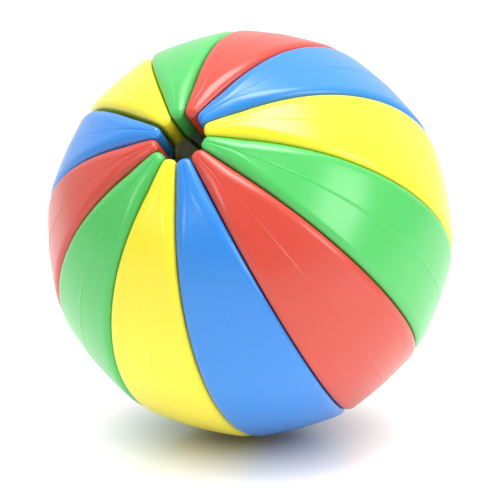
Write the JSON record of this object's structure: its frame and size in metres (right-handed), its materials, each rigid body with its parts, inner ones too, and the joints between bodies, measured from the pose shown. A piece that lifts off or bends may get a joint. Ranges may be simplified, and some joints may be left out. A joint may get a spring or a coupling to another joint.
{
  "type": "twisty snake puzzle",
  "caption": "Ball-shaped twisty snake puzzle of hollow wedge segments in bright colours, chained by spring-loaded swivels round an open polar hole.",
  "frame": {"origin": "centre of the ball", "axes": "+Z along the polar axis, out of one polar hole; +X towards the middle swivel; the free ends of the chain meet on -X"},
  "size_m": [0.0771, 0.0772, 0.0756],
  "materials": {
    "red_plastic": "gloss",
    "green_plastic": "gloss",
    "yellow_plastic": "gloss",
    "blue_plastic": "gloss",
    "screw_steel": "satin",
    "washer_steel": "satin",
    "spring_steel": "satin"
  },
  "bodies": {
    "segment_06": {"segment_06_shell_a": "red_plastic", "segment_06_shell_b": "red_plastic", "swivel_06_screw": "screw_steel", "swivel_06_washer": "washer_steel", "swivel_06_spring": "spring_steel"},
    "segment_07": {"segment_07_shell_a": "green_plastic", "segment_07_shell_b": "green_plastic", "swivel_07_screw": "screw_steel", "swivel_07_washer": "washer_steel", "swivel_07_spring": "spring_steel"},
    "segment_08": {"segment_08_shell_a": "yellow_plastic", "segment_08_shell_b": "yellow_plastic", "swivel_08_screw": "screw_steel", "swivel_08_washer": "washer_steel", "swivel_08_spring": "spring_steel"},
    "segment_09": {"segment_09_shell_a": "blue_plastic", "segment_09_shell_b": "blue_plastic", "swivel_09_screw": "screw_steel", "swivel_09_washer": "washer_steel", "swivel_09_spring": "spring_steel"},
    "segment_10": {"segment_10_shell_a": "red_plastic", "segment_10_shell_b": "red_plastic", "swivel_10_screw": "screw_steel", "swivel_10_washer": "washer_steel", "swivel_10_spring": "spring_steel"},
    "segment_11": {"segment_11_shell_a": "green_plastic", "segment_11_shell_b": "green_plastic", "swivel_11_screw": "screw_steel", "swivel_11_washer": "washer_steel", "swivel_11_spring": "spring_steel"},
    "segment_12": {"segment_12_shell_a": "yellow_plastic", "segment_12_shell_b": "yellow_plastic"},
    "segment_05": {"segment_05_shell_a": "blue_plastic", "segment_05_shell_b": "blue_plastic", "swivel_05_screw": "screw_steel", "swivel_05_washer": "washer_steel", "swivel_05_spring": "spring_steel"},
    "segment_04": {"segment_04_shell_a": "yellow_plastic", "segment_04_shell_b": "yellow_plastic", "swivel_04_screw": "screw_steel", "swivel_04_washer": "washer_steel", "swivel_04_spring": "spring_steel"},
    "segment_03": {"segment_03_shell_a": "green_plastic", "segment_03_shell_b": "green_plastic", "swivel_03_screw": "screw_steel", "swivel_03_washer": "washer_steel", "swivel_03_spring": "spring_steel"},
    "segment_02": {"segment_02_shell_a": "red_plastic", "segment_02_shell_b": "red_plastic", "swivel_02_screw": "screw_steel", "swivel_02_washer": "washer_steel", "swivel_02_spring": "spring_steel"},
    "segment_01": {"segment_01_shell_a": "blue_plastic", "segment_01_shell_b": "blue_plastic", "swivel_01_screw": "screw_steel", "swivel_01_washer": "washer_steel", "swivel_01_spring": "spring_steel"}
  },
  "joints": [
    {"name": "swivel_06", "type": "hinge", "parent": "segment_06", "child": "segment_07", "pos_m": [0.0256, 0, 0], "axis": [0, 1, 0], "continuous": true},
    {"name": "swivel_07", "type": "hinge", "parent": "segment_07", "child": "segment_08", "pos_m": [0.02217, 0.0128, 0], "axis": [-0.5, 0.866, 0], "range_deg": [-0.9, 0.9]},
    {"name": "swivel_08", "type": "hinge", "parent": "segment_08", "child": "segment_09", "pos_m": [0.0128, 0.02217, 0], "axis": [0.866, -0.5, 0], "range_deg": [-0.5, 0.5]},
    {"name": "swivel_09", "type": "hinge", "parent": "segment_09", "child": "segment_10", "pos_m": [0, 0.0256, 0], "axis": [-1, 0, 0], "range_deg": [-0.45, 0.45]},
    {"name": "swivel_10", "type": "hinge", "parent": "segment_10", "child": "segment_11", "pos_m": [-0.0128, 0.02217, 0], "axis": [0.866, 0.5, 0], "range_deg": [-0.5, 0.5]},
    {"name": "swivel_11", "type": "hinge", "parent": "segment_11", "child": "segment_12", "pos_m": [-0.02217, 0.0128, 0], "axis": [-0.5, -0.866, 0], "range_deg": [-0.9, 0.9]},
    {"name": "swivel_05", "type": "hinge", "parent": "segment_06", "child": "segment_05", "pos_m": [0.02217, -0.0128, 0], "axis": [-0.5, -0.866, 0], "range_deg": [-0.9, 0.9]},
    {"name": "swivel_04", "type": "hinge", "parent": "segment_05", "child": "segment_04", "pos_m": [0.0128, -0.02217, 0], "axis": [0.866, 0.5, 0], "range_deg": [-0.5, 0.5]},
    {"name": "swivel_03", "type": "hinge", "parent": "segment_04", "child": "segment_03", "pos_m": [0, -0.0256, 0], "axis": [-1, 0, 0], "range_deg": [-0.45, 0.45]},
    {"name": "swivel_02", "type": "hinge", "parent": "segment_03", "child": "segment_02", "pos_m": [-0.0128, -0.02217, 0], "axis": [0.866, -0.5, 0], "range_deg": [-0.5, 0.5]},
    {"name": "swivel_01", "type": "hinge", "parent": "segment_02", "child": "segment_01", "pos_m": [-0.02217, -0.0128, 0], "axis": [-0.5, 0.866, 0], "range_deg": [-0.9, 0.9]}
  ]
}
